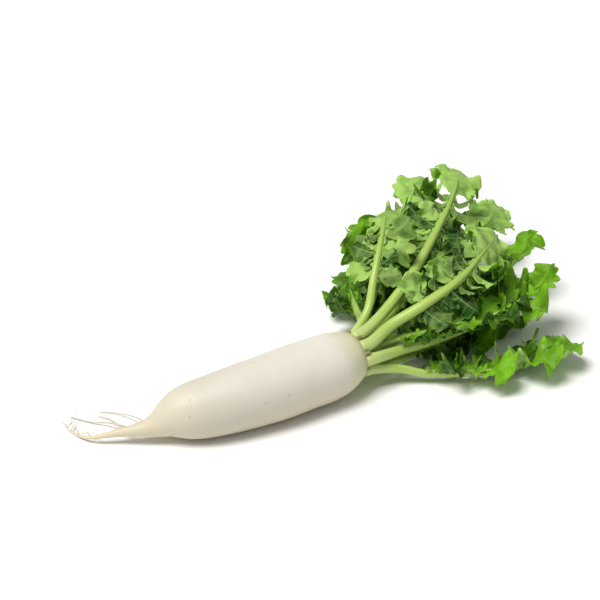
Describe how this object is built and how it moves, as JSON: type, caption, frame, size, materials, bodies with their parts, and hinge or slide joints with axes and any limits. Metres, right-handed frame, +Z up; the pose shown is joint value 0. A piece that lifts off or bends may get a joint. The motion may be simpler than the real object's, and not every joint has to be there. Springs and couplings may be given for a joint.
{
  "type": "daikon radish",
  "caption": "White tapering root with a wiry tail and rootlets, lying on its side, with pale stalks of lobed, toothed green leaves fanned from its crown.",
  "frame": {"origin": "middle of the flat spot that the root rests on, at the level of the surface it lies on", "axes": "+X along the root from the tail to the crown and its leaves, +Z up, +Y to the left of someone looking along +X"},
  "size_m": [0.6015, 0.3488, 0.1494],
  "materials": {
    "skin": "smooth, slightly moist white root skin",
    "stalk": "smooth pale green, juicy leaf stalk",
    "blade": "matt green leaf blade with paler veins"
  },
  "bodies": {
    "root": {"root": "skin", "leaf_01_stalk": "stalk", "leaf_01_blade": "blade", "leaf_02_stalk": "stalk", "leaf_02_blade": "blade", "leaf_03_stalk": "stalk", "leaf_03_blade": "blade", "leaf_04_stalk": "stalk", "leaf_04_blade": "blade", "leaf_05_stalk": "stalk", "leaf_05_blade": "blade", "leaf_06_stalk": "stalk", "leaf_06_blade": "blade", "leaf_07_stalk": "stalk", "leaf_07_blade": "blade", "leaf_08_stalk": "stalk", "leaf_08_blade": "blade", "leaf_09_stalk": "stalk", "leaf_09_blade": "blade", "leaf_10_stalk": "stalk", "leaf_10_blade": "blade", "leaf_11_stalk": "stalk", "leaf_11_blade": "blade", "leaf_12_stalk": "stalk", "leaf_12_blade": "blade", "leaf_13_stalk": "stalk", "leaf_13_blade": "blade", "leaf_14_stalk": "stalk", "leaf_14_blade": "blade"}
  },
  "joints": []
}
